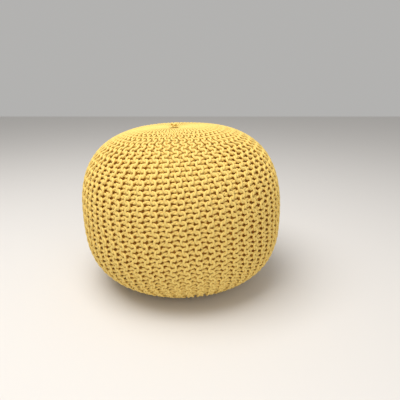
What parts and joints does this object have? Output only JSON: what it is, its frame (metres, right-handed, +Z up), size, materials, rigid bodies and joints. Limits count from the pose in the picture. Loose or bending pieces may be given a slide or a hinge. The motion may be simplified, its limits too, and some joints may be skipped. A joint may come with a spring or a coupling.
{
  "type": "knitted pouf",
  "caption": "Round filled floor pouf in a thick knitted cotton cord cover, with a low crown, sides drawn in to a flat foot and a knotted gather on top.",
  "frame": {"origin": "on the floor, under the middle of the pouf's outline", "axes": "+Z up from the floor through the crown, +X to the right and +Y away from a viewer in front"},
  "size_m": [0.5026, 0.5006, 0.4005],
  "materials": {
    "knitted_cord": "matt thick cotton cord, knitted",
    "closing_cord": "matt thick cotton cord, tied"
  },
  "bodies": {
    "root": {"filled_cover": "knitted_cord", "closing_knot": "closing_cord"}
  },
  "joints": []
}
